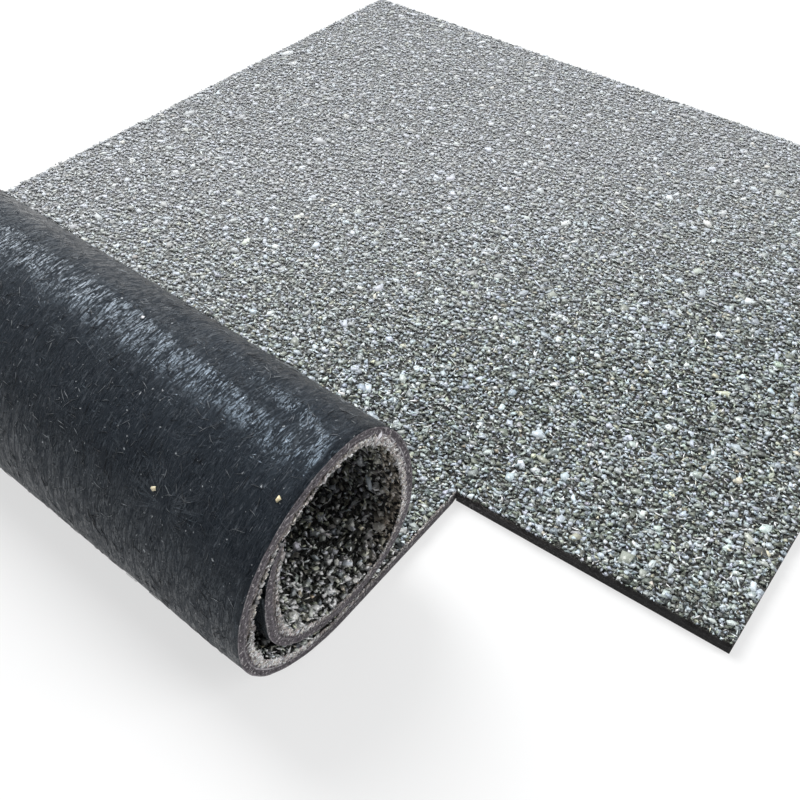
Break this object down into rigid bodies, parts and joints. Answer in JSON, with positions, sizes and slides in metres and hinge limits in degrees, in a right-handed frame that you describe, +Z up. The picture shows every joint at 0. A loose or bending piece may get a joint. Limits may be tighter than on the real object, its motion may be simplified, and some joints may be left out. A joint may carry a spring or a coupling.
{
  "type": "part-unrolled roofing felt",
  "caption": "Piece of slate-surfaced bituminous roofing felt, lying flat with one side wound into an open roll, black back outwards.",
  "frame": {"origin": "middle of the footprint, on the ground", "axes": "+X from the roll towards the flat field, +Y along the roll's axis away from its notched end, +Z up"},
  "size_m": [0.3576, 0.34, 0.0734],
  "materials": {
    "felt": "satin"
  },
  "bodies": {
    "root": {"felt_sheet": "felt"}
  },
  "joints": []
}
